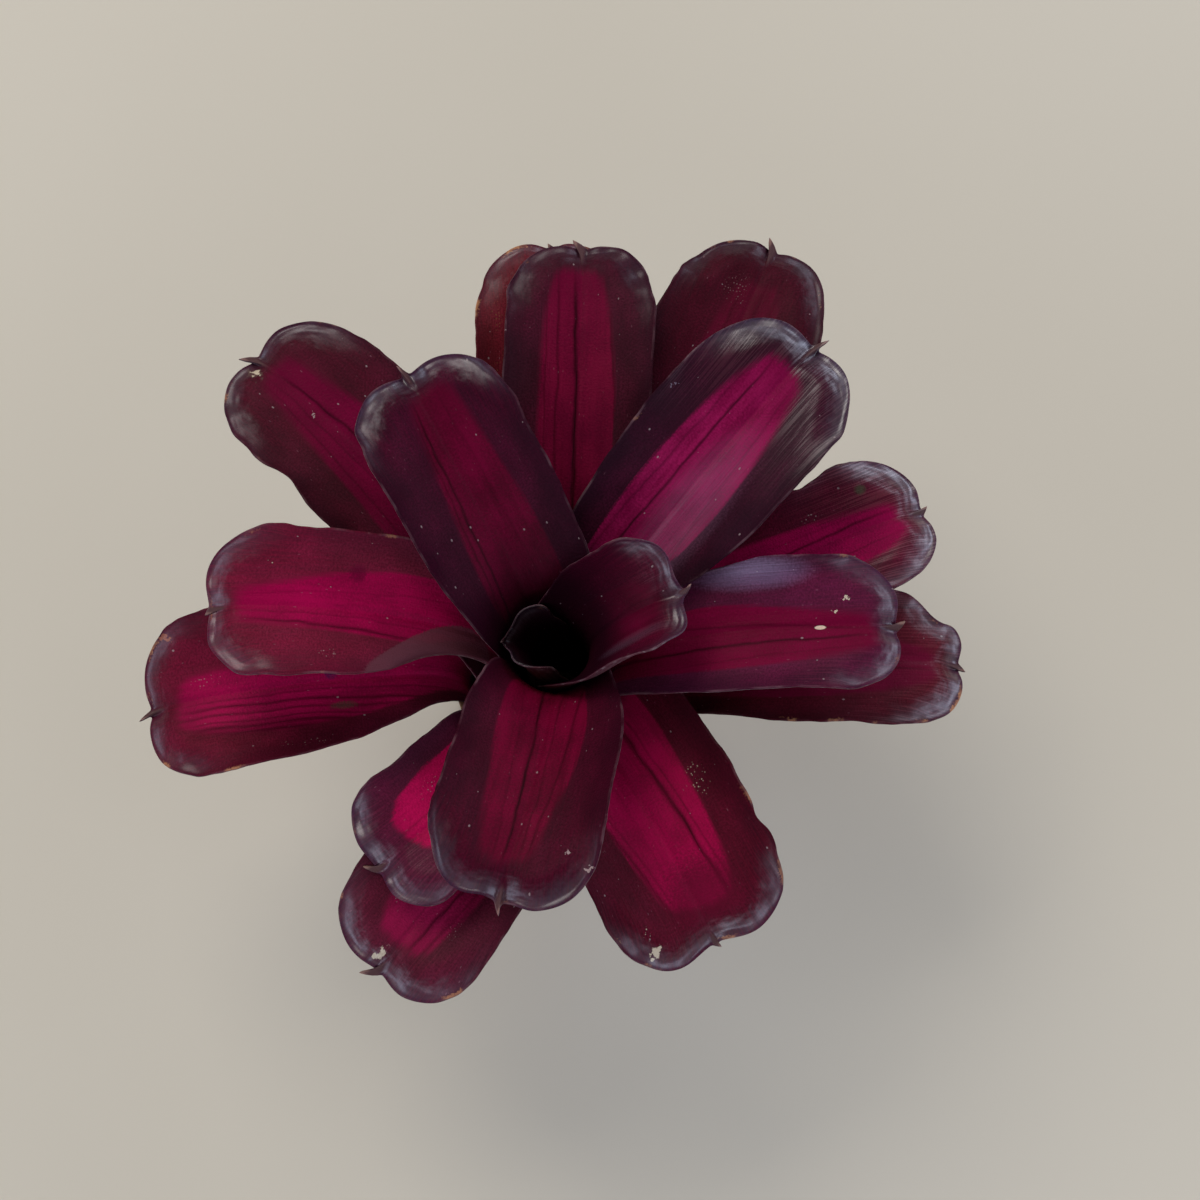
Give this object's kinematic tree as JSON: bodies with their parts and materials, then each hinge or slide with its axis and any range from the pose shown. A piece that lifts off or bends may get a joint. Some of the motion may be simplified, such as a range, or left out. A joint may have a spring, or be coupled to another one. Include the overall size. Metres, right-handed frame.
{
  "type": "neoregelia bromeliad plant",
  "caption": "Small bromeliad: a rosette of broad strap leaves with blunt notched tips round a water tank, on a short stem cut flat to stand on a surface.",
  "frame": {"origin": "centre of the stem's flat cut end, on the surface that the plant stands on", "axes": "+Z up along the axis of the leaf tank; +X to the right and +Y up in the picture"},
  "size_m": [0.1371, 0.1271, 0.0801],
  "materials": {
    "leaf": "satin succulent leaf, crimson-magenta band down the middle, dark maroon margins, slate tips",
    "dry_scale": "matte dried leaf base",
    "stem": "matte fibrous stump with wiry roots"
  },
  "bodies": {
    "root": {"leaf_01": "leaf", "leaf_02": "leaf", "leaf_03": "leaf", "leaf_04": "leaf", "leaf_05": "leaf", "leaf_06": "leaf", "leaf_07": "leaf", "leaf_08": "leaf", "leaf_09": "leaf", "leaf_10": "leaf", "leaf_11": "leaf", "leaf_12": "leaf", "leaf_13": "leaf", "leaf_14": "leaf", "leaf_15": "leaf", "leaf_16": "leaf", "leaf_17": "leaf", "scale_1": "dry_scale", "scale_2": "dry_scale", "scale_3": "dry_scale", "scale_4": "dry_scale", "stem": "stem"}
  },
  "joints": []
}
